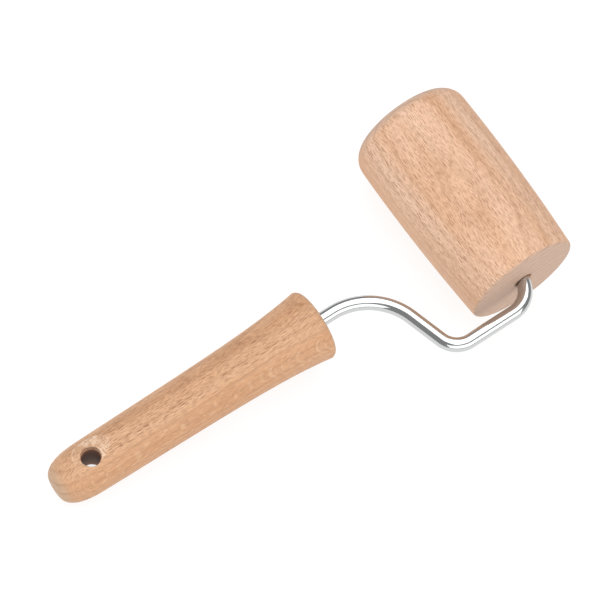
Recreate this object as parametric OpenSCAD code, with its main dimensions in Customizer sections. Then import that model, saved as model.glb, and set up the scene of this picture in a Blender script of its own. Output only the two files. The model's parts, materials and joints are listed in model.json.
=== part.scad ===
// Hand roller of the brayer form: a beech roller that spins on a bent steel wire,
// and the wire's other end is driven into a turned beech handle.
//
// Millimetres. The tool lies on a table as it rests by itself, on its roller and on the butt
// of its handle. +X runs from the handle to the roller, +Y along the roller's axis and away
// from the wire's crank, +Z up. The origin is the middle of the footprint, at the table.
//
// Every piece is drawn in the tool's own flat frame and then laid down by laid_down():
// there the roller's middle is at the origin, and the handle's axis, the whole wire and the
// roller's axis lie in the plane z = 0.

/* [Roller] */
// Length of the roller from end face to end face
roller_len = 69.5; // [50:0.5:110]
// Diameter at the middle of the roller
roller_mid_d = 42.5; // [36:0.5:60]
// Diameter at the end beside the crank, as if its edge were sharp
roller_near_d = 39.5; // [34:0.5:60]
// Diameter at the far end, as if its edge were sharp
roller_far_d = 41.8; // [36:0.2:60]
// Radius that eases the edge beside the crank
roller_near_round = 1.2; // [0.4:0.2:4]
// Radius that rounds the edge at the far end
roller_far_round = 7; // [1:0.5:9]

/* [Handle] */
// Length of the handle
handle_len = 102.2; // [85:0.1:150]
// Diameter of the grip's straight taper, carried back to the butt
grip_rear_d = 17.8; // [16:0.2:28]
// Diameter of the grip's straight taper, carried forward to the rim
grip_front_d = 20.4; // [18:0.2:30]
// Diameter of the flared rim at the front
rim_d = 25.6; // [24:0.1:40]
// How late the flare opens: a higher power keeps the grip straight for longer
flare_power = 6.5; // [3:0.5:10]
// Length over which the butt is rounded
butt_len = 14; // [8:1:20]
// Diameter of the flat left on the butt
butt_flat_d = 5; // [2:0.5:10]
// Fullness of the rounded butt: 2 is an ellipse, more is squarer
butt_fullness = 2.5; // [2:0.1:3.5]
// Radius of the rim's outer edge
rim_round = 2; // [0.5:0.5:3]

/* [Hang hole] */
// Diameter of the cross hole near the butt
hang_d = 6.4; // [4:0.2:8]
// Distance from the butt to the cross hole's axis
hang_from_butt = 14; // [12:0.5:25]
// Radius of the ball-shaped scoop that eases each mouth
scoop_r = 12; // [8:0.5:16]
// How deep the scoop bites into the grip
scoop_depth = 2.2; // [0.5:0.1:3]
// How far round the grip the scoop sits from the hole's axis, in degrees
scoop_lean = 15; // [0:1:20]
// How far toward the rim the scoop sits from the hole's axis
scoop_shift = 1; // [0:0.5:2]

/* [Wire frame] */
// Diameter of the wire
wire_d = 5; // [4:0.5:7]
// Distance from the handle's front face to the roller's axis
reach = 65.3; // [60:0.1:90]
// Sideways distance from the roller's middle to the handle's axis
handle_offset = 9; // [0:0.2:12]
// Distance from the roller's end face to the middle of the wire that passes it
crank_gap = 7.5; // [6:0.1:12]
// Bend radius of the crank's corner onto the axle, at the wire's middle
axle_bend_r = 9.5; // [7:0.5:10]
// Bend radius of the crank's other corner, at the wire's middle
crank_bend_r = 8; // [6.5:0.5:9]
// Bend radius of the long sweep out of the handle, at the wire's middle
sweep_bend_r = 22; // [12:1:26]
// How far the sweep turns the wire aside, in degrees
sweep_angle = 73.5; // [65:0.5:80]
// Straight wire between the handle and the sweep
neck_len = 6; // [3:0.5:10]
// Length of wire inside the handle
tang_len = 42; // [25:1:50]
// Chamfer on both cut ends of the wire
wire_chamfer = 0.5; // [0.2:0.1:1]

/* [Bushes and retainer] */
// Radial running clearance between the axle and a bush
run_clear = 0.05; // [0.02:0.01:0.1]
// Wall of a bush
bush_wall = 0.75; // [0.6:0.05:2]
// Length of each bush, without its flange
bush_len = 12; // [6:1:14]
// How deep the near bush sits below the roller's end face
near_bush_set = 3; // [1:0.5:5]
// How far the far bush's flange stands out past its tube
flange_w = 2; // [1:0.5:3]
// Thickness of that flange
flange_t = 1; // [0.6:0.1:2]
// Axial running gap between the flange and the thrust washer
thrust_gap = 0.3; // [0.2:0.05:0.6]
// Thickness of the thrust washer
washer_t = 0.8; // [0.5:0.1:1.5]
// Radial clearance between the thrust washer and the axle
washer_clear = 0.2; // [0.1:0.05:0.5]
// Sheet thickness of the push-on cap nut
nut_sheet = 0.5; // [0.3:0.1:0.8]
// Radial width of the cap nut's brim outside the axle
nut_brim = 2.6; // [2:0.1:4]
// Height of the cap nut
nut_h = 3; // [2.4:0.1:5]
// Number of slits that part the cap nut's gripping tongues
nut_slits = 6; // [4:1:8]
// Gap between the cap nut and the end plug
plug_gap = 0.9; // [0.5:0.1:2]
// Thickness of the end plug
plug_t = 5; // [3:0.5:10]
// Clearance round the flange in the roller's end pocket
pocket_clear = 1.5; // [0.5:0.1:3]

/* [Hidden] */
$fn = 96;

// colours
beech = [0.90, 0.73, 0.57];
beech_plug = [0.84, 0.68, 0.54];
bright_steel = [0.80, 0.81, 0.83];
zinc_steel = [0.66, 0.67, 0.68];
nylon = [0.93, 0.92, 0.88];

eps = 0.01;

// roller
half_len = roller_len / 2;
bush_d = wire_d + 2 * (run_clear + bush_wall);
flange_d = bush_d + 2 * flange_w;
nut_d = wire_d + 2 * nut_brim;
pocket_d = max(flange_d, nut_d) + 2 * pocket_clear;
pocket_depth = flange_t + thrust_gap + washer_t + nut_h + plug_gap + plug_t;
pocket_floor = half_len - pocket_depth;

// what stands on the axle past the pocket's floor, each from its own start
washer_y = pocket_floor + flange_t + thrust_gap;
nut_y = washer_y + washer_t;
axle_end_y = nut_y + nut_h - 2 * nut_sheet;

// handle, measured from the butt along its axis
rear_x = -reach - handle_len;
tang_hole_spare = 2;
tang_hole_chamfer = 0.6;
drill_tip = 0.3 * wire_d;

// wire frame: the wire draws down by bend_thinning where it is bent, and each straight run
// laps into its bends; the neck ends at neck_x, the link starts at link_x, the run at run_x and
// the axle at axle_y, a little way inside the roller's bore
bend_thinning = 0.08;
bend_lap = 0.05;
crank_y = half_len + crank_gap;
bend_y = -crank_y + crank_bend_r;
axle_y = -crank_y + axle_bend_r;
neck_x = -reach + neck_len;
sweep_y = -handle_offset - sweep_bend_r;
link_x = neck_x + sweep_bend_r * sin(sweep_angle);
link_y = sweep_y + sweep_bend_r * cos(sweep_angle);
link_len = (link_y - bend_y + crank_bend_r * cos(sweep_angle)) / sin(sweep_angle);
run_x = link_x + link_len * cos(sweep_angle) + crank_bend_r * sin(sweep_angle);
run_len = -axle_bend_r - run_x;

// radius of the crowned roller at y, on one parabola through the three diameters
function crown_r(y) =
    roller_mid_d / 2
    + (roller_far_d - roller_near_d) / 4 * (y / half_len)
    + ((roller_far_d + roller_near_d) / 4 - roller_mid_d / 2) * pow(y / half_len, 2);

function crown_slope(y) = (crown_r(y + eps) - crown_r(y - eps)) / (2 * eps);

// rounded edge where the crowned side meets an end face: end is -1 or 1
function edge_arc(end, round_r, steps = 10) =
    let (mid_y = end * (half_len - round_r))
    let (lean = atan(crown_slope(mid_y)))
    let (mid_r = crown_r(mid_y - round_r * sin(lean)) - round_r * cos(lean))
    [for (i = [0:steps])
        let (a = end * (90 - i / steps * (90 + end * lean)))
        [mid_r + round_r * cos(a), mid_y + round_r * sin(a)]];

function reversed(list) = [for (i = [len(list) - 1:-1:0]) list[i]];

crown_steps = 6;
near_edge = edge_arc(-1, roller_near_round);
far_edge = edge_arc(1, roller_far_round);
crown_from = near_edge[len(near_edge) - 1][1];
crown_to = far_edge[len(far_edge) - 1][1];
crown_side = [for (i = [1:crown_steps - 1])
    let (y = crown_from + (crown_to - crown_from) * i / crown_steps)
    [crown_r(y), y]];
roller_outline = concat(near_edge, crown_side, reversed(far_edge));
roller_max_r = max([for (p = roller_outline) p[0]]);

// radius of the handle at s from the butt: straight taper and flare, with the butt rounded off
function grip_r(s) =
    let (taper = grip_rear_d / 2 + (grip_front_d - grip_rear_d) / 2 * s / handle_len)
    taper + (rim_d - grip_front_d) / 2 * pow(s / handle_len, flare_power);

function butt_r(s) =
    let (full = pow(1 - pow(1 - min(s, butt_len) / butt_len, butt_fullness), 1 / butt_fullness))
    butt_flat_d / 2 + (grip_r(s) - butt_flat_d / 2) * full;

butt_steps = 14;
grip_steps = 26;
rim_steps = 8;
butt_side = [for (i = [0:butt_steps]) let (s = butt_len * pow(i / butt_steps, 2)) [butt_r(s), s]];
grip_side = [for (i = [1:grip_steps])
    let (s = butt_len + (handle_len - rim_round - butt_len) * i / grip_steps)
    [grip_r(s), s]];
rim_start_r = grip_r(handle_len - rim_round);
rim_lean = atan((rim_start_r - grip_r(handle_len - rim_round - eps)) / eps);
rim_side = [for (i = [1:rim_steps])
    let (a = -rim_lean + (90 + rim_lean) * i / rim_steps)
    [rim_start_r + rim_round * (cos(a) - cos(rim_lean)),
     handle_len - rim_round + rim_round * (sin(a) + sin(rim_lean)) / (1 + sin(rim_lean))]];
handle_outline = concat(butt_side, grip_side, rim_side);

// how the tool lies: tilted until its butt meets the table that the roller stands on
function touch_tilt(p) =
    let (back = -rear_x - p[1])
    asin(roller_max_r / norm([back, p[0]])) - atan(p[0] / back);
rest_tilt = min([for (p = handle_outline) touch_tilt(p)]);
rear_reach = max([for (p = handle_outline)
    (-rear_x - p[1]) * cos(rest_tilt) + p[0] * sin(rest_tilt)]);
roller_at = [(rear_reach - roller_max_r) / 2, (crank_gap + wire_d / 2) / 2, roller_max_r];

// lays a piece drawn in the tool's flat frame down on the table
module laid_down() {
    translate(roller_at)
        rotate([0, -rest_tilt, 0])
            children();
}

// turns z into +X, for what lies along the handle
module along_x() {
    rotate([0, 90, 0])
        children();
}

// turns z into +Y, for what lies along the roller's axis
module along_y() {
    rotate([-90, 0, 0])
        children();
}

// straight wire in the plane z = 0, lapped into the bend or the tip at each of its ends
module wire_run(from, heading, length) {
    translate(from)
        rotate([0, 0, heading])
            along_x()
                translate([0, 0, -bend_lap])
                    cylinder(d = wire_d, h = length + 2 * bend_lap);
}

// bent wire in the plane z = 0, round a middle, from one angle on through another
module wire_bend(middle, radius, start, turn) {
    translate(middle)
        rotate([0, 0, start])
            rotate_extrude(angle = turn)
                translate([radius, 0])
                    circle(d = wire_d - bend_thinning);
}

// chamfered cut end of the wire, running off at an angle from +X
module wire_tip(from, heading) {
    translate(from)
        rotate([0, 0, heading])
            along_x()
                translate([0, 0, bend_lap])
                    cylinder(d1 = wire_d, d2 = wire_d - 2 * wire_chamfer, h = wire_chamfer);
}

// one wire: tang in the handle, neck, sweep, link, crank and axle
module wire_frame() {
    tang_x = -reach - tang_len + wire_chamfer + bend_lap;
    axle_len = axle_end_y - axle_y - wire_chamfer - bend_lap;
    color(bright_steel)
        laid_down() {
            wire_tip([tang_x, -handle_offset, 0], 180);
            wire_run([tang_x, -handle_offset, 0], 0, neck_x - tang_x);
            wire_bend([neck_x, sweep_y, 0], sweep_bend_r, 90 - sweep_angle, sweep_angle);
            wire_run([link_x, link_y, 0], -sweep_angle, link_len);
            wire_bend([run_x, bend_y, 0], crank_bend_r, 270 - sweep_angle, sweep_angle);
            wire_run([run_x, -crank_y, 0], 0, run_len);
            wire_bend([-axle_bend_r, axle_y, 0], axle_bend_r, 270, 90);
            wire_run([0, axle_y, 0], 90, axle_len);
            wire_tip([0, axle_y + axle_len, 0], 90);
        }
}

// ball-shaped scoop that eases the cross hole's mouth, a little to one side of it
module mouth_scoop() {
    surface_r = grip_r(hang_from_butt);
    rotate([-scoop_lean, 0, 0])
        translate([scoop_shift, 0, surface_r - scoop_depth + scoop_r])
            sphere(r = scoop_r);
}

module handle() {
    color(beech)
        laid_down()
            translate([rear_x, -handle_offset, 0])
                difference() {
                    along_x()
                        rotate_extrude()
                            polygon(concat([[0, 0]], handle_outline, [[0, handle_len]]));
                    tang_hole();
                    translate([hang_from_butt, 0, 0]) {
                        translate([0, 0, -rim_d / 2])
                            cylinder(d = hang_d, h = rim_d);
                        for (side = [0, 180])
                            rotate([side, 0, 0])
                                mouth_scoop();
                    }
                }
}

// drilled hole that the tang is driven into, with its mouth eased
module tang_hole() {
    depth = tang_len + tang_hole_spare;
    translate([handle_len - depth, 0, 0])
        along_x()
            cylinder(d = wire_d, h = depth + eps);
    translate([handle_len - depth - drill_tip, 0, 0])
        along_x()
            cylinder(d1 = 0, d2 = wire_d, h = drill_tip);
    translate([handle_len - tang_hole_chamfer, 0, 0])
        along_x()
            cylinder(d1 = wire_d, d2 = wire_d + 2 * tang_hole_chamfer, h = tang_hole_chamfer);
}

// crowned roller with its bore, and at the far end the pocket that hides the retainer
module roller() {
    bore_outline = [[pocket_d / 2, half_len], [pocket_d / 2, pocket_floor],
                    [bush_d / 2, pocket_floor], [bush_d / 2, -half_len]];
    color(beech)
        laid_down()
            along_y()
                rotate_extrude()
                    polygon(concat(roller_outline, bore_outline));
}

module bush_tube(length) {
    difference() {
        cylinder(d = bush_d, h = length);
        translate([0, 0, -eps])
            cylinder(d = wire_d + 2 * run_clear, h = length + 2 * eps);
    }
}

// plain bush, pressed in below the end face beside the crank
module near_bush() {
    color(nylon)
        laid_down()
            translate([0, near_bush_set - half_len, 0])
                along_y()
                    bush_tube(bush_len);
}

// flanged bush, pressed in until its flange seats on the pocket's floor
module far_bush() {
    bore_d = wire_d + 2 * run_clear;
    color(nylon)
        laid_down()
            translate([0, pocket_floor, 0])
                along_y()
                    rotate_extrude()
                        polygon([[bore_d / 2, -bush_len], [bush_d / 2, -bush_len],
                                 [bush_d / 2, 0], [flange_d / 2, 0],
                                 [flange_d / 2, flange_t], [bore_d / 2, flange_t]]);
}

module thrust_washer() {
    color(zinc_steel)
        laid_down()
            translate([0, washer_y, 0])
                along_y()
                    difference() {
                        cylinder(d = flange_d, h = washer_t);
                        translate([0, 0, -eps])
                            cylinder(d = wire_d + 2 * washer_clear, h = washer_t + 2 * eps);
                    }
}

// pressed sheet cap: a brim with slit tongues that bite the axle, and a closed crown over its end
module push_nut() {
    crown_in = wire_d / 2 + 2 * nut_sheet;
    crown_out = crown_in + nut_sheet;
    slit_w = 0.6;
    color(zinc_steel)
        laid_down()
            translate([0, nut_y, 0])
                along_y()
                    difference() {
                        rotate_extrude()
                            polygon([[wire_d / 2, 0], [nut_d / 2, 0],
                                     [nut_d / 2, nut_sheet], [crown_out, nut_sheet],
                                     [crown_out, nut_h - nut_sheet],
                                     [crown_out - nut_sheet, nut_h], [0, nut_h],
                                     [0, nut_h - nut_sheet], [crown_in, nut_h - nut_sheet],
                                     [crown_in, nut_sheet], [wire_d / 2, nut_sheet]]);
                        for (i = [0:nut_slits - 1])
                            rotate([0, 0, i * 360 / nut_slits])
                                translate([wire_d / 2 - slit_w, -slit_w / 2, -eps])
                                    cube([crown_in - wire_d / 2 + slit_w, slit_w,
                                          nut_sheet + 2 * eps]);
                    }
}

// beech plug that closes the pocket, flush with the far end face
module end_plug() {
    color(beech_plug)
        laid_down()
            translate([0, half_len - plug_t, 0])
                along_y()
                    cylinder(d = pocket_d, h = plug_t);
}

handle();
wire_frame();
roller();
near_bush();
far_bush();
thrust_washer();
push_nut();
end_plug();
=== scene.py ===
"""Looks for the beech hand roller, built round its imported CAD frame.

The turned pieces are lathed again with fine, smooth outlines, the wire is swept as one smooth tube,
and each surface gets a procedural material: solid beech with growth rings, rays and end grain,
bright plated wire, zinc plate and nylon. Lengths are in millimetres until a mesh is made.
"""

import json
import math

import bpy
from mathutils import Matrix, Vector


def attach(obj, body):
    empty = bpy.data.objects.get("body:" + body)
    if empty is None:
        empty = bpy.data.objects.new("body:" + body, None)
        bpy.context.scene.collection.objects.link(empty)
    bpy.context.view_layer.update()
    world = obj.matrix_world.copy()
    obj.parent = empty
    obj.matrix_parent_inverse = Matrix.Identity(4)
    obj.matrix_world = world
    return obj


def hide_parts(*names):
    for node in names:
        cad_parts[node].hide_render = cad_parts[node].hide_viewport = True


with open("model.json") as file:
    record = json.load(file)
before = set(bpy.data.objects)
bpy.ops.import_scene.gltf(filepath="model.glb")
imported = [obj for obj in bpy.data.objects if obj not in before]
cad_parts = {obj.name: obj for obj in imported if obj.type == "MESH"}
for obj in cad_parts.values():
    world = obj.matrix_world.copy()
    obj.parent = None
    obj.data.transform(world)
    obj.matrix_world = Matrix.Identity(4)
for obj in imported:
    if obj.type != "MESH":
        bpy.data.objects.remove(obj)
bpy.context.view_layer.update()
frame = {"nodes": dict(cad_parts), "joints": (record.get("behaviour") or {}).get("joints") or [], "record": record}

MM = 0.001

# ---------------------------------------------------------------- sizes, as the CAD model has them

ROLLER_LEN = 69.5
ROLLER_MID_D = 42.5
ROLLER_NEAR_D = 39.5
ROLLER_FAR_D = 41.8
ROLLER_NEAR_ROUND = 1.2
ROLLER_FAR_ROUND = 7.0
BORE_D = 6.6
POCKET_D = 13.6
POCKET_DEPTH = 11.0
PLUG_T = 5.0

HANDLE_LEN = 102.2
GRIP_REAR_D = 17.8
GRIP_FRONT_D = 20.4
RIM_D = 25.6
FLARE_POWER = 6.5
BUTT_LEN = 14.0
BUTT_FLAT_D = 5.0
BUTT_FULLNESS = 2.5
RIM_ROUND = 2.0

HANG_D = 6.4
HANG_FROM_BUTT = 14.0
SCOOP_R = 12.0
SCOOP_DEPTH = 2.2
SCOOP_LEAN = math.radians(15)
SCOOP_SHIFT = 1.0

WIRE_D = 5.0
REACH = 65.3
HANDLE_OFFSET = 9.0
CRANK_GAP = 7.5
AXLE_BEND_R = 9.5
CRANK_BEND_R = 8.0
SWEEP_BEND_R = 22.0
SWEEP_ANGLE = math.radians(73.5)
NECK_LEN = 6.0
TANG_LEN = 42.0
TANG_HOLE_CHAMFER = 0.6
TANG_HOLE_TIP = 2.0
WIRE_CHAMFER = 0.5
AXLE_END = 27.85

# how far the edges of the cross hole, the bore and pocket, and the plug are eased
HANG_EASE = 0.35
BORE_EASE = 0.25
PLUG_EASE = 0.3

# faces that meet at more than this angle, in degrees, keep a crisp edge between them
WOOD_CREASE = 38
WIRE_CREASE = 30

HALF_LEN = ROLLER_LEN / 2
REAR_X = -REACH - HANDLE_LEN

# the tool's own flat frame, in which every turned or bent piece is drawn: its origin is the
# roller's middle, and the handle, wire and roller axes lie in its plane z = 0
spin = next(j for j in frame["joints"] if j["name"] == "roller_spin")
hang = next(m for m in frame["record"]["mounts"] if m["name"] == "hang_hole")
REST_TILT = math.atan2(-hang["axis"][0], hang["axis"][2])
TOOL = Matrix.Translation(Vector(spin["pos_m"])) @ Matrix.Rotation(-REST_TILT, 4, "Y")


# ---------------------------------------------------------------- outlines

# how far apart the two points lie from which an outline's slope is taken
SLOPE_STEP = 0.01


def crown_r(y):
    """Radius of the crowned roller at y from its middle."""
    u = y / HALF_LEN
    slant = (ROLLER_FAR_D - ROLLER_NEAR_D) / 4
    crown = (ROLLER_FAR_D + ROLLER_NEAR_D) / 4 - ROLLER_MID_D / 2
    return ROLLER_MID_D / 2 + slant * u + crown * u * u


def grip_r(s):
    """Radius of the handle at s from its butt, before the butt is rounded off."""
    taper = GRIP_REAR_D / 2 + (GRIP_FRONT_D - GRIP_REAR_D) / 2 * s / HANDLE_LEN
    return taper + (RIM_D - GRIP_FRONT_D) / 2 * (s / HANDLE_LEN) ** FLARE_POWER


def butt_r(s):
    """Radius of the rounded butt at s from its end."""
    left = 1 - min(s, BUTT_LEN) / BUTT_LEN
    full = (1 - left ** BUTT_FULLNESS) ** (1 / BUTT_FULLNESS)
    return BUTT_FLAT_D / 2 + (grip_r(s) - BUTT_FLAT_D / 2) * full


def arc(middle, radius, start, end, steps):
    """Points (along, out) on a round corner, angles from the along axis in degrees."""
    angles = [math.radians(start + (end - start) * i / steps) for i in range(steps + 1)]
    return [(middle[0] + radius * math.cos(a), middle[1] + radius * math.sin(a)) for a in angles]


# ---------------------------------------------------------------- mesh making

def new_object(name, verts, faces):
    """A mesh object from points in metres in the row frame."""
    mesh = bpy.data.meshes.new(name)
    mesh.from_pydata([tuple(v) for v in verts], [], faces)
    mesh.validate()
    mesh.update()
    obj = bpy.data.objects.new(name, mesh)
    bpy.context.scene.collection.objects.link(obj)
    return obj


def lathe(name, outline, place, segments, closed=False):
    """Turns an outline of (along, out) points round the local X axis. place takes the local
    frame, in millimetres, to the row frame. A point with out = 0 becomes a single tip."""
    verts, rings = [], []
    for along, out in outline:
        if out < 1e-6:
            rings.append([len(verts)])
            verts.append(place @ Vector((along, 0, 0)))
            continue
        ring = []
        for k in range(segments):
            a = 2 * math.pi * k / segments
            ring.append(len(verts))
            verts.append(place @ Vector((along, out * math.sin(a), out * math.cos(a))))
        rings.append(ring)
    pairs = list(zip(rings, rings[1:]))
    if closed:
        pairs.append((rings[-1], rings[0]))
    faces = []
    for one, two in pairs:
        for k in range(segments):
            nxt = (k + 1) % segments
            if len(one) == 1:
                faces.append((one[0], two[nxt], two[k]))
            elif len(two) == 1:
                faces.append((one[k], one[nxt], two[0]))
            else:
                faces.append((one[k], one[nxt], two[nxt], two[k]))
    return new_object(name, verts, faces)


def smooth_by_angle(obj, degrees):
    """Smooth shading that breaks where two faces meet at more than an angle."""
    for poly in obj.data.polygons:
        poly.use_smooth = True
    obj.data.set_sharp_from_angle(angle=math.radians(degrees))


def cut(obj, cutter):
    """Takes the cutter out of obj for good."""
    mod = obj.modifiers.new("cut", "BOOLEAN")
    mod.operation = "DIFFERENCE"
    mod.solver = "EXACT"
    mod.object = cutter
    bpy.context.view_layer.update()
    graph = bpy.context.evaluated_depsgraph_get()
    mesh = bpy.data.meshes.new_from_object(obj.evaluated_get(graph))
    obj.modifiers.remove(mod)
    obj.data = mesh
    bpy.data.objects.remove(cutter)


# turned frames: local X along the handle from its butt, and along the roller's axis
HANDLE_PLACE = TOOL @ Matrix.Scale(MM, 4) @ Matrix.Translation((REAR_X, -HANDLE_OFFSET, 0))
ROLLER_PLACE = TOOL @ Matrix.Scale(MM, 4) @ Matrix.Rotation(math.radians(90), 4, "Z")


# ---------------------------------------------------------------- the pieces

def make_handle():
    """Turned handle: butt, grip and flared rim, the hole for the tang, and the cross hole."""
    butt_steps, grip_steps, rim_steps, segments = 26, 90, 10, 192
    butt = [BUTT_LEN * (i / butt_steps) ** 2 for i in range(butt_steps + 1)]
    body_to = HANDLE_LEN - RIM_ROUND
    body = [BUTT_LEN + (body_to - BUTT_LEN) * i / grip_steps for i in range(1, grip_steps + 1)]
    outline = [(0, 0), (0, BUTT_FLAT_D / 4)]
    outline += [(s, butt_r(s)) for s in butt] + [(s, grip_r(s)) for s in body]
    slope = (grip_r(body_to) - grip_r(body_to - SLOPE_STEP)) / SLOPE_STEP
    lean = math.degrees(math.atan(slope))
    middle = (body_to, grip_r(body_to) - RIM_ROUND * math.cos(math.radians(lean)))
    rim = arc(middle, RIM_ROUND, 90 + lean, 0, rim_steps)[1:]
    stretch = (HANDLE_LEN - body_to) / (rim[-1][0] - body_to)
    outline += [(body_to + (a - body_to) * stretch, r) for a, r in rim]
    mouth_r = WIRE_D / 2
    outline += [(HANDLE_LEN, mouth_r + TANG_HOLE_CHAMFER), (HANDLE_LEN - TANG_HOLE_CHAMFER, mouth_r)]
    outline += [(HANDLE_LEN - TANG_LEN, mouth_r), (HANDLE_LEN - TANG_LEN - TANG_HOLE_TIP, 0)]
    handle = lathe("beech_handle", outline, HANDLE_PLACE, segments)
    for side in (0, math.pi):
        cut(handle, scoop_cutter(side))
    cut(handle, hang_cutter())
    smooth_by_angle(handle, WOOD_CREASE)
    return handle


def scoop_middle():
    """The scoop's ball, in the handle's local frame, before it is turned to its side."""
    out = grip_r(HANG_FROM_BUTT) - SCOOP_DEPTH + SCOOP_R
    across, up = out * math.sin(SCOOP_LEAN), out * math.cos(SCOOP_LEAN)
    return Vector((HANG_FROM_BUTT + SCOOP_SHIFT, across, up))


def scoop_cutter(side):
    """The ball that scoops out one mouth of the cross hole, side being its turn about the handle."""
    steps, segments = 72, 144
    middle = Matrix.Rotation(side, 3, "X") @ scoop_middle()
    outline = [(SCOOP_R * -math.cos(math.pi * i / steps), SCOOP_R * math.sin(math.pi * i / steps))
               for i in range(steps + 1)]
    place = HANDLE_PLACE @ Matrix.Translation(middle) @ Matrix.Rotation(math.radians(90), 4, "Y")
    return lathe("scoop", outline, place, segments)


def mouth_height(x, y):
    """Height of the handle's scooped surface over a point near the cross hole."""
    height = math.sqrt(grip_r(HANG_FROM_BUTT + x) ** 2 - y * y)
    ball = scoop_middle() - Vector((HANG_FROM_BUTT, 0, 0))
    under = SCOOP_R ** 2 - (x - ball.x) ** 2 - (y - ball.y) ** 2
    if under > 0:
        height = min(height, ball.z - math.sqrt(under))
    return height


def hang_cutter():
    """Drill for the cross hole, whose ends flare to round both mouths over."""
    segments = 96
    radius = HANG_D / 2
    inside, above = 2.0, 4.0
    flare = [(HANG_EASE * (1 - math.cos(math.radians(a))), HANG_EASE * (1 - math.sin(math.radians(a))))
             for a in (0, 15, 30, 45, 60, 75, 90)]
    rings = []
    for side in (1, -1):
        half = []
        for wider, below in [(0, inside)] + flare + [(HANG_EASE, -above)]:
            ring = []
            for k in range(segments):
                a = 2 * math.pi * k / segments
                x, y = math.cos(a), math.sin(a)
                top = mouth_height((radius + wider) * x, (radius + wider) * y)
                ring.append(Vector((HANG_FROM_BUTT + (radius + wider) * x,
                                    side * (radius + wider) * y, side * (top - below))))
            half.append(ring)
        rings.append(half)
    lower = [[ring[-k % segments] for k in range(segments)] for ring in rings[1]]
    stack = lower[::-1] + rings[0]
    verts = [HANDLE_PLACE @ v for ring in stack for v in ring]
    faces = []
    for i in range(len(stack) - 1):
        for k in range(segments):
            nxt = (k + 1) % segments
            low, high = i * segments, (i + 1) * segments
            faces.append((low + k, low + nxt, high + nxt, high + k))
    faces.append(tuple(range(segments))[::-1])
    faces.append(tuple(len(verts) - segments + k for k in range(segments)))
    return new_object("drill", verts, faces)


def edge_outline(end, round_r, steps):
    """Rounded edge of the roller at end -1 or 1, from the face to the side."""
    mid = end * (HALF_LEN - round_r)
    slope = (crown_r(mid + SLOPE_STEP) - crown_r(mid - SLOPE_STEP)) / (2 * SLOPE_STEP)
    lean = math.atan(slope)
    out = crown_r(mid - round_r * math.sin(lean)) - round_r * math.cos(lean)
    turn = 90 + end * math.degrees(lean)
    angles = [math.radians(turn * i / steps) for i in range(steps + 1)]
    return [(mid + end * round_r * math.cos(a), out + round_r * math.sin(a)) for a in angles]


def make_roller():
    """Crowned roller with its bore, and the pocket at its far end."""
    near_steps, far_steps, side_steps, segments = 8, 18, 72, 224
    near = edge_outline(-1, ROLLER_NEAR_ROUND, near_steps)
    far = edge_outline(1, ROLLER_FAR_ROUND, far_steps)
    start, end = near[-1][0], far[-1][0]
    side = [start + (end - start) * i / side_steps for i in range(1, side_steps)]
    floor, bore, pocket = HALF_LEN - POCKET_DEPTH, BORE_D / 2, POCKET_D / 2
    outline = near + [(y, crown_r(y)) for y in side] + far[::-1]
    outline += [(HALF_LEN, pocket + BORE_EASE), (HALF_LEN - BORE_EASE, pocket)]
    outline += [(floor, pocket), (floor, bore)]
    outline += [(BORE_EASE - HALF_LEN, bore), (-HALF_LEN, bore + BORE_EASE)]
    outline += [(-HALF_LEN, bore + (near[0][1] - bore) * f) for f in (0.35, 0.7)]
    roller = lathe("beech_roller", outline, ROLLER_PLACE, segments, closed=True)
    smooth_by_angle(roller, WOOD_CREASE)
    return roller


def make_plug():
    """Plug that closes the pocket, flush with the roller's far end."""
    segments, radius = 96, POCKET_D / 2
    outline = [(HALF_LEN - PLUG_T, 0), (HALF_LEN - PLUG_T, radius), (HALF_LEN - PLUG_EASE, radius),
               (HALF_LEN, radius - PLUG_EASE), (HALF_LEN, radius / 2), (HALF_LEN, 0)]
    plug = lathe("beech_plug", outline, ROLLER_PLACE, segments)
    smooth_by_angle(plug, WOOD_CREASE)
    return plug


def wire_path():
    """Middle line of the wire in the tool's flat frame: (point, heading) pairs. Each run and
    turn is drawn in the number of steps that it gives last."""
    path = []
    at, heading = Vector((-REACH - TANG_LEN, -HANDLE_OFFSET)), 0.0

    def run(length, steps):
        nonlocal at
        start = at.copy()
        for i in range(steps + 1):
            at = start + Vector((math.cos(heading), math.sin(heading))) * length * i / steps
            path.append((at.copy(), heading))

    def turn(radius, angle, steps):
        nonlocal at, heading
        side = math.copysign(1, angle)
        middle = at + Vector((-math.sin(heading), math.cos(heading))) * radius * side
        start = heading
        for i in range(1, steps):
            heading = start + angle * i / steps
            spoke = Vector((math.sin(heading), -math.cos(heading))) * radius * side
            path.append((middle + spoke, heading))
        heading = start + angle
        at = middle + Vector((math.sin(heading), -math.cos(heading))) * radius * side

    crank_y = HALF_LEN + CRANK_GAP
    drop = (SWEEP_BEND_R + CRANK_BEND_R) * (1 - math.cos(SWEEP_ANGLE))
    link = (crank_y - HANDLE_OFFSET - drop) / math.sin(SWEEP_ANGLE)
    forward = (SWEEP_BEND_R + CRANK_BEND_R) * math.sin(SWEEP_ANGLE) + link * math.cos(SWEEP_ANGLE)
    run(TANG_LEN + NECK_LEN, 12)
    turn(SWEEP_BEND_R, -SWEEP_ANGLE, 30)
    run(link, 6)
    turn(CRANK_BEND_R, SWEEP_ANGLE, 26)
    run(REACH - NECK_LEN - forward - AXLE_BEND_R, 8)
    turn(AXLE_BEND_R, math.radians(90), 34)
    run(AXLE_END + crank_y - AXLE_BEND_R, 16)
    return path


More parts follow.
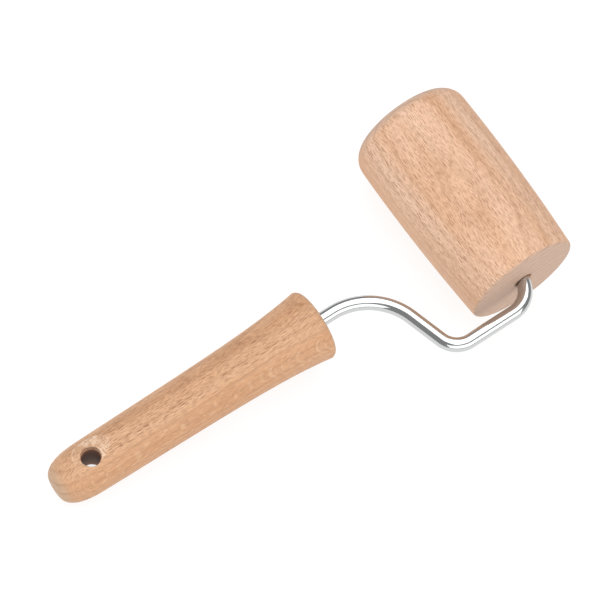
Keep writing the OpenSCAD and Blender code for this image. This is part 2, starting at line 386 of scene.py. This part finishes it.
def make_wire():
    """The wire as one tube along its path, chamfered at both ends."""
    segments, radius = 48, WIRE_D / 2
    path = wire_path()
    first, last = path[0], path[-1]

    def moved(station, distance):
        at, heading = station
        return at + Vector((math.cos(heading), math.sin(heading))) * distance, heading

    stations = [(first, radius - WIRE_CHAMFER), (moved(first, WIRE_CHAMFER), radius)]
    stations += [(station, radius) for station in path[1:-1]]
    stations += [(moved(last, -WIRE_CHAMFER), radius), (last, radius - WIRE_CHAMFER)]
    verts, faces = [], []
    for (at, heading), out in stations:
        across = Vector((-math.sin(heading), math.cos(heading), 0))
        for k in range(segments):
            a = 2 * math.pi * k / segments
            spoke = across * math.cos(a) + Vector((0, 0, 1)) * math.sin(a)
            verts.append(TOOL @ ((Vector((at.x, at.y, 0)) + spoke * out) * MM))
    for i in range(len(stations) - 1):
        for k in range(segments):
            nxt = (k + 1) % segments
            low, high = i * segments, (i + 1) * segments
            faces.append((low + k, low + nxt, high + nxt, high + k))
    faces.append(tuple(range(segments))[::-1])
    faces.append(tuple(len(verts) - segments + k for k in range(segments)))
    wire = new_object("bright_wire", verts, faces)
    smooth_by_angle(wire, WIRE_CREASE)
    return wire


# ---------------------------------------------------------------- materials

class Nodes:
    """Short calls for wiring a material's node tree."""

    def __init__(self, name):
        self.material = bpy.data.materials.new(name)
        self.material.use_nodes = True
        self.tree = self.material.node_tree
        self.tree.nodes.clear()
        self.out = self.add("ShaderNodeOutputMaterial")

    def add(self, kind, **settings):
        node = self.tree.nodes.new(kind)
        for key, value in settings.items():
            setattr(node, key, value)
        return node

    def link(self, source, target):
        self.tree.links.new(source, target)

    def feed(self, socket, value):
        """Links another node's output to a socket, or sets a plain value on it."""
        if hasattr(value, "links"):
            self.link(value, socket)
        else:
            socket.default_value = value

    def math(self, operation, *values):
        node = self.add("ShaderNodeMath", operation=operation)
        for socket, value in zip(node.inputs, values):
            self.feed(socket, value)
        return node.outputs[0]

    def vector(self, operation, *values):
        node = self.add("ShaderNodeVectorMath", operation=operation)
        for socket, value in zip(node.inputs, values):
            self.feed(socket, value)
        return node.outputs["Value" if operation == "LENGTH" else "Vector"]

    def split(self, vector):
        node = self.add("ShaderNodeSeparateXYZ")
        self.link(vector, node.inputs[0])
        return node.outputs

    def join(self, x, y, z):
        node = self.add("ShaderNodeCombineXYZ")
        for socket, value in zip(node.inputs, (x, y, z)):
            self.feed(socket, value)
        return node.outputs[0]

    def noise(self, vector, scale, detail=2.0, roughness=0.5):
        node = self.add("ShaderNodeTexNoise", noise_dimensions="3D")
        self.link(vector, node.inputs["Vector"])
        node.inputs["Scale"].default_value = scale
        node.inputs["Detail"].default_value = detail
        node.inputs["Roughness"].default_value = roughness
        return node.outputs["Fac"]

    def cells(self, vector):
        """Random cells about one unit wide: distance from, place and colour of the nearest."""
        node = self.add("ShaderNodeTexVoronoi", voronoi_dimensions="3D", feature="F1")
        self.link(vector, node.inputs["Vector"])
        node.inputs["Scale"].default_value = 1.0
        return node.outputs

    def remap(self, value, low, high, to_low=0.0, to_high=1.0):
        """A smooth step from to_low, where value is low, to to_high, where it is high."""
        node = self.add("ShaderNodeMapRange", clamp=True, interpolation_type="SMOOTHSTEP")
        for socket, number in zip(node.inputs, (value, low, high, to_low, to_high)):
            self.feed(socket, number)
        return node.outputs[0]

    def ramp(self, value, stops):
        """Colours at stops of value, and straight blends between them."""
        node = self.add("ShaderNodeValToRGB")
        elements = node.color_ramp.elements
        while len(elements) < len(stops):
            elements.new(0.5)
        for element, (position, colour) in zip(elements, stops):
            element.position = position
            element.color = (*colour, 1.0)
        self.link(value, node.inputs[0])
        return node.outputs["Color"]

    def mix(self, factor, one, two, blend="MIX"):
        node = self.add("ShaderNodeMix", data_type="RGBA", blend_type=blend)
        self.feed(node.inputs[0], factor)
        for socket, value in ((node.inputs[6], one), (node.inputs[7], two)):
            self.feed(socket, value if hasattr(value, "links") else (*value, 1.0))
        return node.outputs[2]

    def bump(self, height, strength, distance):
        node = self.add("ShaderNodeBump")
        node.inputs["Strength"].default_value = strength
        node.inputs["Distance"].default_value = distance
        self.link(height, node.inputs["Height"])
        return node.outputs[0]

    def principled(self, **values):
        node = self.add("ShaderNodeBsdfPrincipled")
        for key, value in values.items():
            self.feed(node.inputs[key.replace("_", " ")], value)
        self.link(node.outputs[0], self.out.inputs["Surface"])
        return node


def srgb(red, green, blue):
    """A display colour, 0 to 255, as the linear colour that a shader takes."""
    def linear(c):
        c /= 255
        return c / 12.92 if c <= 0.04045 else ((c + 0.055) / 1.055) ** 2.4
    return linear(red), linear(green), linear(blue)


WHITE = (1.0, 1.0, 1.0)

# pieces whose seeds differ by one are cut this far apart along the tree, in millimetres
SEED_STEP = 37.0


def beech(name, pith, along, ring_mm, seed, tones, hole=False):
    """Solid beech. pith is a point on the tree's middle line in the row frame, in metres, and
    along the way its grain runs. tones holds the light, warm, dash, fleck and end colours. hole
    tells whether the handle's cross hole is in it: tones then has pale and speck too, for the
    scoops, and bore, a darker brown painted on the hole's wall as shade."""
    n = Nodes(name)
    coords = n.add("ShaderNodeTexCoord")
    turn = along.to_track_quat("X", "Z").to_euler()
    place = n.add("ShaderNodeMapping", vector_type="TEXTURE")
    place.inputs["Location"].default_value = pith
    place.inputs["Rotation"].default_value = turn
    place.inputs["Scale"].default_value = (MM, MM, MM)
    n.link(coords.outputs["Object"], place.inputs["Vector"])
    timber = n.vector("ADD", place.outputs[0], (seed * SEED_STEP, 0.0, 0.0))
    normal = n.add("ShaderNodeMapping", vector_type="TEXTURE")
    normal.inputs["Rotation"].default_value = turn
    n.link(coords.outputs["Normal"], normal.inputs["Vector"])

    # wavering of the grain, slow along it
    waver = n.add("ShaderNodeTexNoise", noise_dimensions="3D")
    n.link(n.vector("MULTIPLY", timber, (0.014, 0.03, 0.03)), waver.inputs["Vector"])
    waver.inputs["Scale"].default_value = 1.0
    waver.inputs["Detail"].default_value = 2.0
    shift = n.vector("MULTIPLY", n.vector("SUBTRACT", waver.outputs["Color"], (0.5, 0.5, 0.5)),
                     (0.0, 6.0, 8.0))
    length, across, up = n.split(n.vector("ADD", timber, shift))
    radius = n.math("SQRT", n.math("ADD", n.math("MULTIPLY", across, across),
                                   n.math("MULTIPLY", up, up)))
    round_way = n.math("MULTIPLY", n.math("ARCTAN2", across, up), pith_depth(pith))
    grain = n.join(length, round_way, radius)

    def stretched(along_scale, round_scale, out_scale):
        return n.vector("MULTIPLY", grain, (along_scale, round_scale, out_scale))

    def share(value, amount):
        return n.math("MULTIPLY", value, amount)

    # which way the surface looks: across the rings, along them, or down the grain
    nx, ny, nz = n.split(normal.outputs[0])
    facing = n.math("ABSOLUTE", n.math("DIVIDE", n.math("ADD", n.math("MULTIPLY", ny, across),
                                                        n.math("MULTIPLY", nz, up)), radius))
    end_grain = n.remap(n.math("ABSOLUTE", nx), 0.34, 0.80)
    flat_sawn = n.remap(facing, 0.28, 0.70)
    edge_on = n.math("SUBTRACT", 1.0, flat_sawn)

    # growth rings, and the slow drift of colour from ring to ring
    spread = n.noise(stretched(0.0, 0.0, 0.09), 1.0, 1.0)
    year = n.math("ADD", n.math("DIVIDE", radius, ring_mm), share(spread, 3.0))
    late = n.math("FRACT", year)
    ring_line = n.math("MULTIPLY", n.remap(late, 0.55, 0.92), n.remap(late, 0.92, 1.0, 1.0, 0.0))
    drift = n.noise(stretched(0.010, 0.11, 0.12), 1.0, 3.0)
    warmth = n.math("ADD", drift, share(edge_on, 0.24))
    colour = n.mix(n.remap(warmth, 0.22, 0.98), tones["light"], tones["warm"])
    colour = n.mix(share(ring_line, 0.38), colour, tuple(c * 0.78 for c in tones["warm"]))

    # soft mottle and fine fibres
    mottle = n.noise(stretched(0.45, 2.4, 2.4), 1.0, 3.0, 0.6)
    cloudy = n.ramp(mottle, [(0.28, (0.77, 0.73, 0.69)), (0.5, (0.93, 0.92, 0.91)), (0.72, WHITE)])
    colour = n.mix(1.0, colour, cloudy, "MULTIPLY")
    fibre = n.noise(stretched(0.34, 5.2, 5.2), 1.0, 3.0, 0.65)
    colour = n.mix(1.0, colour, n.ramp(fibre, [(0.3, (0.82, 0.78, 0.74)), (0.6, WHITE)]), "MULTIPLY")

    # rays: upright ribbons that run outwards from the pith, dark where cut across
    def rays(cell, half, seed_shift):
        """Lens-shaped rays, one to a cell. cell is its size along the grain, round the pith and
        outwards, and half a ray's half size along and round, all in millimetres."""
        at = n.vector("ADD", stretched(1 / cell[0], 1 / cell[1], 1 / cell[2]),
                      (seed_shift, seed_shift, seed_shift))
        nearest = n.cells(at)
        gap = n.vector("SUBTRACT", at, nearest["Position"])
        lens = n.vector("MULTIPLY", gap, (cell[0] / half[0], cell[1] / half[1], 0.0))
        size, keep, _ = n.split(nearest["Color"])
        reach = n.remap(size, 0.0, 1.0, 0.45, 1.25)
        lens = n.math("DIVIDE", n.vector("LENGTH", lens), reach)
        return n.remap(lens, 1.0, 0.35), n.math("MULTIPLY", keep, keep)

    ray, depth = rays((3.4, 0.52, 9.0), (1.6, 0.10), 0.0)
    small_ray, small_depth = rays((2.1, 0.38, 6.0), (0.90, 0.075), 7.3)
    strong = n.math("MULTIPLY", ray, n.remap(depth, 0.0, 0.8, 0.55, 1.0))
    weak = n.math("MULTIPLY", small_ray, n.remap(small_depth, 0.0, 1.0, 0.30, 0.80))
    dash = n.math("MAXIMUM", strong, weak)
    colour = n.mix(n.math("MULTIPLY", share(dash, 0.92), flat_sawn), colour, tones["dash"])
    colour = n.mix(n.math("MULTIPLY", share(dash, 0.22), edge_on), colour, tones["fleck"])

    # sawn ends show greyer, with pores and thin pale rays
    pores = n.cells(stretched(0.4, 3.6, 3.6))["Distance"]
    sawn = n.noise(stretched(0.1, 0.5, 2.2), 1.0, 3.0, 0.6)
    pored = n.mix(n.remap(sawn, 0.3, 0.7), tuple(c * 0.86 for c in tones["end"]), tones["end"])
    pored = n.mix(n.remap(pores, 0.05, 0.5, 0.45, 0.0), pored, tuple(c * 0.6 for c in tones["end"]))
    pored = n.mix(share(ring_line, 0.55), pored, tuple(c * 0.62 for c in tones["end"]))
    colour = n.mix(end_grain, colour, pored)
    # the scoops' own paler sanded wood, and painted shade inside the cross hole
    if hole:
        colour = scoops_and_hole_shade(n, coords.outputs["Object"], colour, tones)

    height = n.math("SUBTRACT", n.math("ADD", share(fibre, 0.5), share(mottle, 0.4)), share(dash, 0.6))
    shade = n.principled(Base_Color=colour, Roughness=n.remap(mottle, 0.3, 0.7, 0.50, 0.66),
                         Specular_IOR_Level=0.3)
    n.link(n.bump(height, 0.35, 0.00012), shade.inputs["Normal"])
    return n.material


# the paint on the scoops, and the painted shade on the cross hole's wall, fade in between these
# distances, in metres: from the middle of a scoop's ball, and from the axis of the cross hole
SCOOP_FADE = (SCOOP_R * MM * 1.004, SCOOP_R * MM * 1.0005)
HOLE_SHADE_FADE = (HANG_D / 2 * MM + 0.00025, HANG_D / 2 * MM + 0.00004)


def scoops_and_hole_shade(n, point, colour, tones):
    """Sanded, speckled scoops round the cross hole, and painted shade that darkens its wall."""
    for side in (0, math.pi):
        middle = HANDLE_PLACE @ (Matrix.Rotation(side, 3, "X") @ scoop_middle())
        out = n.vector("LENGTH", n.vector("SUBTRACT", point, tuple(middle)))
        scooped = n.remap(out, *SCOOP_FADE)
        patchy = n.remap(n.noise(point, 190.0, 2.0), 0.38, 0.56, 0.20, 0.85)
        specks = n.remap(n.noise(point, 1500.0, 2.0), 0.38, 0.52)
        pale = n.mix(specks, tones["speck"], tones["pale"])
        colour = n.mix(n.math("MULTIPLY", scooped, patchy), colour, pale)
    # painted shade: the cross hole's wall takes the darker bore tone, as if shaded inside
    axis = (HANDLE_PLACE.to_3x3() @ Vector((0, 0, 1))).normalized()
    start = HANDLE_PLACE @ Vector((HANG_FROM_BUTT, 0, 0))
    from_start = n.vector("SUBTRACT", point, tuple(start))
    off_axis = n.vector("CROSS_PRODUCT", from_start, tuple(axis))
    wall = n.remap(n.vector("LENGTH", off_axis), *HOLE_SHADE_FADE)
    return n.mix(wall, colour, tones["bore"])


def pith_depth(pith):
    """How far the pith lies from the tool's plane, in millimetres: the scale of angles there."""
    return (TOOL.inverted() @ Vector(pith)).yz.length / MM


def bright_plate():
    """Bright plated wire, a little smeared and never quite flat."""
    n = Nodes("bright_plate")
    coords = n.add("ShaderNodeTexCoord").outputs["Object"]
    smear = n.noise(coords, 420.0, 3.0)
    ripple = n.noise(coords, 90.0, 1.0)
    shade = n.principled(Base_Color=(0.60, 0.605, 0.61, 1.0), Metallic=1.0,
                         Roughness=n.remap(smear, 0.3, 0.7, 0.09, 0.14))
    n.link(n.bump(ripple, 0.03, 0.0004), shade.inputs["Normal"])
    return n.material


def zinc_plate():
    """Dull zinc with small crystals."""
    n = Nodes("zinc_plate")
    coords = n.add("ShaderNodeTexCoord").outputs["Object"]
    spangle = n.noise(coords, 1500.0, 3.0)
    tone = n.ramp(spangle, [(0.3, (0.42, 0.43, 0.44)), (0.7, (0.68, 0.69, 0.70))])
    n.principled(Base_Color=tone, Metallic=1.0, Roughness=n.remap(spangle, 0.3, 0.7, 0.28, 0.45))
    return n.material


def natural_nylon():
    """Undyed nylon, creamy and faintly cloudy."""
    n = Nodes("natural_nylon")
    coords = n.add("ShaderNodeTexCoord").outputs["Object"]
    cloud = n.noise(coords, 260.0, 3.0)
    tone = n.ramp(cloud, [(0.3, srgb(226, 222, 208)), (0.7, srgb(240, 237, 226))])
    shade = n.principled(Base_Color=tone, Roughness=0.42)
    n.link(n.bump(cloud, 0.05, 0.0002), shade.inputs["Normal"])
    return n.material


# ---------------------------------------------------------------- assembly

ALONG_HANDLE = TOOL.to_3x3() @ Vector((1, 0, 0))
ALONG_ROLLER = TOOL.to_3x3() @ Vector((0, 1, 0))

ROLLER_TONES = {"light": srgb(240, 204, 178), "warm": srgb(222, 174, 137), "dash": srgb(146, 92, 60),
                "fleck": srgb(246, 218, 194), "end": srgb(204, 171, 149)}
# bore, in the handle's tones, is painted shade for the cross hole's wall
HANDLE_TONES = {"light": srgb(224, 182, 147), "warm": srgb(210, 159, 119), "dash": srgb(122, 68, 38),
                "fleck": srgb(242, 210, 178), "end": srgb(204, 168, 138),
                "pale": srgb(225, 196, 170), "speck": srgb(188, 146, 114), "bore": srgb(146, 104, 80)}
# a point on the tree's middle line for each piece of wood, given in the tool's flat frame in metres
HANDLE_PITH = TOOL @ Vector((0, -0.072, -0.072))
ROLLER_PITH = TOOL @ Vector((0.015, 0, -0.110))
PLUG_PITH = TOOL @ Vector((-0.03, 0, 0.05))

handle_wood = beech("handle_beech", HANDLE_PITH, ALONG_HANDLE, 2.6, 1, HANDLE_TONES, hole=True)
roller_wood = beech("roller_beech", ROLLER_PITH, ALONG_ROLLER, 3.0, 2, ROLLER_TONES)
plug_wood = beech("plug_beech", PLUG_PITH, ALONG_ROLLER, 2.4, 5, ROLLER_TONES)
PIECES = [
    (make_handle, "frame", "handle", "handle_beech", handle_wood),
    (make_wire, "frame", "wire_frame", "bright_wire", bright_plate()),
    (make_roller, "roller", "roller", "roller_beech", roller_wood),
    (make_plug, "roller", "end_plug", "plug_beech", plug_wood),
]
for make, body, node, slot, material in PIECES:
    piece = make()
    piece.data.materials.clear()
    piece.data.materials.append(material)
    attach(piece, body)
    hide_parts(node)

# the hidden pieces of the bearing keep their CAD meshes
zinc, nylon = zinc_plate(), natural_nylon()
for node, slot, material in (("near_bush", "nylon", nylon), ("far_bush", "nylon", nylon),
                             ("thrust_washer", "zinc_steel", zinc), ("push_nut", "zinc_steel", zinc)):
    part = frame["nodes"][node]
    part.data.materials.clear()
    part.data.materials.append(material)


# ---------------------------------------------------------------- floor, light and camera

FLOOR_HALF = 3.0
FLOOR_GREY = 0.22
FLOOR_GLOW = 0.82
WORLD_LEVEL = 0.32

# name, place and size in metres, and level of each light
SOFTBOXES = [
    ("overhead", (0.50, 0.46, 1.45), (1.7, 2.1), 2.0),
    ("front", (-0.22, -1.30, 0.75), (2.4, 1.2), 1.65),
    ("left", (-1.15, 0.70, 0.72), (1.2, 0.85), 2.4),
]

# the camera's bearing and roll in degrees, the point it looks at and its distance in metres
CAMERA_AZIMUTH = -48.178
CAMERA_ELEVATION = 65.507
CAMERA_ROLL = -14.555
CAMERA_AIM = Vector((0.006179, 0.004024, 0.021337))
CAMERA_DISTANCE = 1.13007
SENSOR_WIDTH_MM = 36.0
LENS_MM = 207.506


def make_floor():
    """A pale floor that gives off some light of its own, so that it is white and shadows are faint."""
    half = FLOOR_HALF
    floor = new_object("floor", [(-half, -half, 0), (half, -half, 0), (half, half, 0), (-half, half, 0)],
                       [(0, 1, 2, 3)])
    n = Nodes("pale_floor")
    shade = n.principled(Base_Color=(FLOOR_GREY, FLOOR_GREY, FLOOR_GREY, 1.0), Roughness=0.9,
                         Specular_IOR_Level=0.1)
    shade.inputs["Emission Color"].default_value = (*WHITE, 1.0)
    shade.inputs["Emission Strength"].default_value = FLOOR_GLOW
    floor.data.materials.append(n.material)


def softbox(name, at, size, level):
    """A rectangular light whose front is as bright as a white wall lit to that level. One
    overhead lies level, and the others face the tool."""
    light = bpy.data.lights.new(name, "AREA")
    light.shape = "RECTANGLE"
    light.size, light.size_y = size
    light.energy = level * math.pi * size[0] * size[1]
    lamp = bpy.data.objects.new(name, light)
    lamp.location = at
    lamp.rotation_mode = "QUATERNION"
    faces = (0, 0, -1) if name == "overhead" else -Vector(at)
    lamp.rotation_quaternion = Vector(faces).to_track_quat("-Z", "Y")
    bpy.context.scene.collection.objects.link(lamp)


def make_world(level):
    """Even white light from all round."""
    world = bpy.data.worlds.new("studio")
    world.use_nodes = True
    background = world.node_tree.nodes["Background"]
    background.inputs["Color"].default_value = (*WHITE, 1.0)
    background.inputs["Strength"].default_value = level
    bpy.context.scene.world = world


def make_camera():
    """Camera at the photograph's viewing angle. back points from its aim to the camera."""
    azimuth, elevation, roll = map(math.radians, (CAMERA_AZIMUTH, CAMERA_ELEVATION, CAMERA_ROLL))
    back = Vector((math.sin(azimuth) * math.cos(elevation), -math.cos(azimuth) * math.cos(elevation),
                   math.sin(elevation)))
    camera = bpy.data.cameras.new("camera")
    camera.sensor_width = SENSOR_WIDTH_MM
    camera.lens = LENS_MM
    camera.clip_start, camera.clip_end = 0.05, 20.0
    eye = bpy.data.objects.new("camera", camera)
    eye.location = CAMERA_AIM + back * CAMERA_DISTANCE
    eye.rotation_mode = "QUATERNION"
    level = (-back).to_track_quat("-Z", "Y")
    eye.rotation_quaternion = level @ Matrix.Rotation(-roll, 3, "Z").to_quaternion()
    bpy.context.scene.collection.objects.link(eye)
    bpy.context.scene.camera = eye


make_floor()
make_world(WORLD_LEVEL)
for name, at, size, level in SOFTBOXES:
    softbox(name, at, size, level)
make_camera()
bpy.context.scene.view_settings.view_transform = "Standard"
